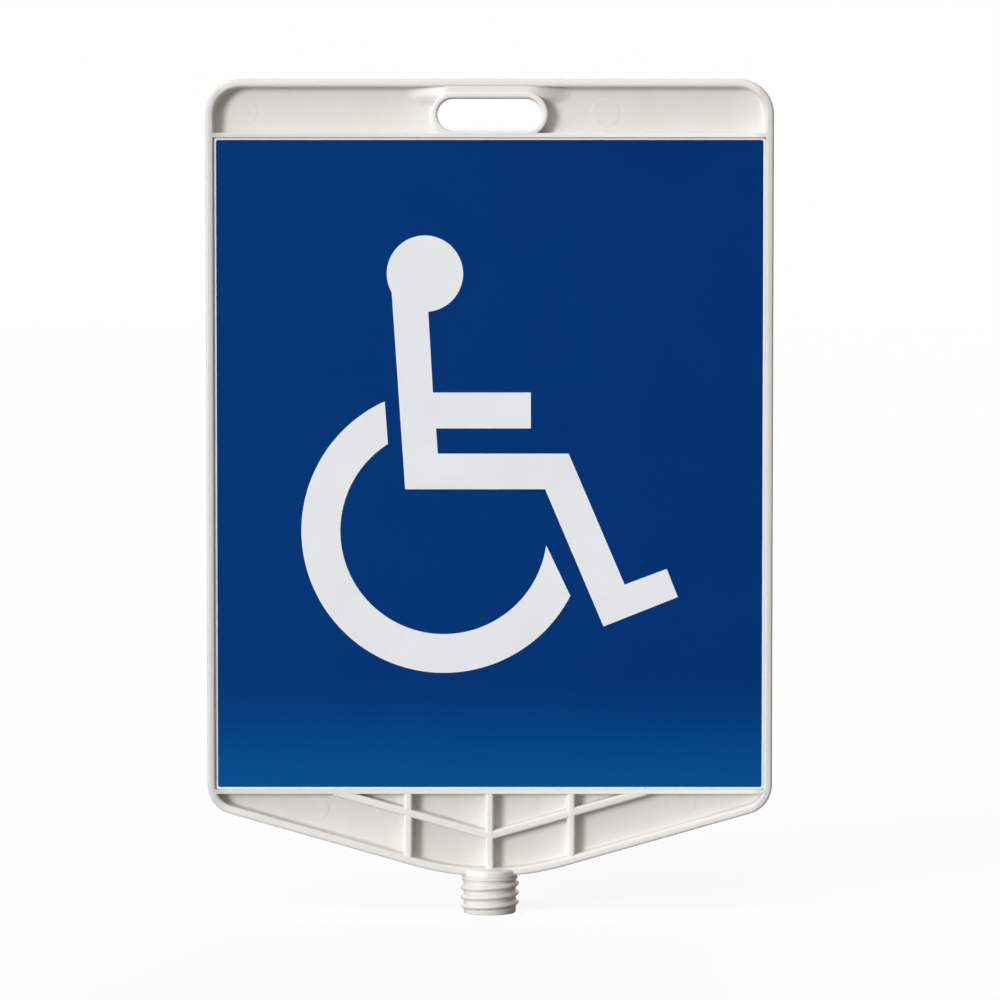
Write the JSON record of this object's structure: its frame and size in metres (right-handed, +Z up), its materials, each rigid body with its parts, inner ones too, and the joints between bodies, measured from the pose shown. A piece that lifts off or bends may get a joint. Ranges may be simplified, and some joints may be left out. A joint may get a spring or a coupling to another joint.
{
  "type": "accessible parking sign head",
  "caption": "Double-sided accessible parking sign head: recessed blue panels with a wheelchair symbol in a moulded white frame with a hand slot and a threaded spigot.",
  "frame": {"origin": "on the spigot's axis, in the frame's mid-plane, at the lowest point of the frame's edge, where the thread begins", "axes": "+Z up along the spigot's axis, +X to the right of someone who reads the front, which faces -Y"},
  "size_m": [0.51, 0.0532, 0.753],
  "materials": {
    "white_plastic": "fine satin moulded surface",
    "white_board": "smooth gloss white face",
    "blue_film": "gloss blue film with a faint fine grain",
    "white_film": "gloss white film",
    "foam_tape": "matt foam"
  },
  "bodies": {
    "root": {"moulded_frame": "white_plastic", "front_board": "white_board", "front_blue_film": "blue_film", "front_symbol_figure": "white_film", "front_symbol_wheel": "white_film", "rear_board": "white_board", "rear_blue_film": "blue_film", "rear_symbol_figure": "white_film", "rear_symbol_wheel": "white_film", "front_tape_left": "foam_tape", "front_tape_middle": "foam_tape", "front_tape_right": "foam_tape", "front_tape_top": "foam_tape", "front_tape_bottom": "foam_tape", "rear_tape_left": "foam_tape", "rear_tape_middle": "foam_tape", "rear_tape_right": "foam_tape", "rear_tape_top": "foam_tape", "rear_tape_bottom": "foam_tape"}
  },
  "joints": []
}
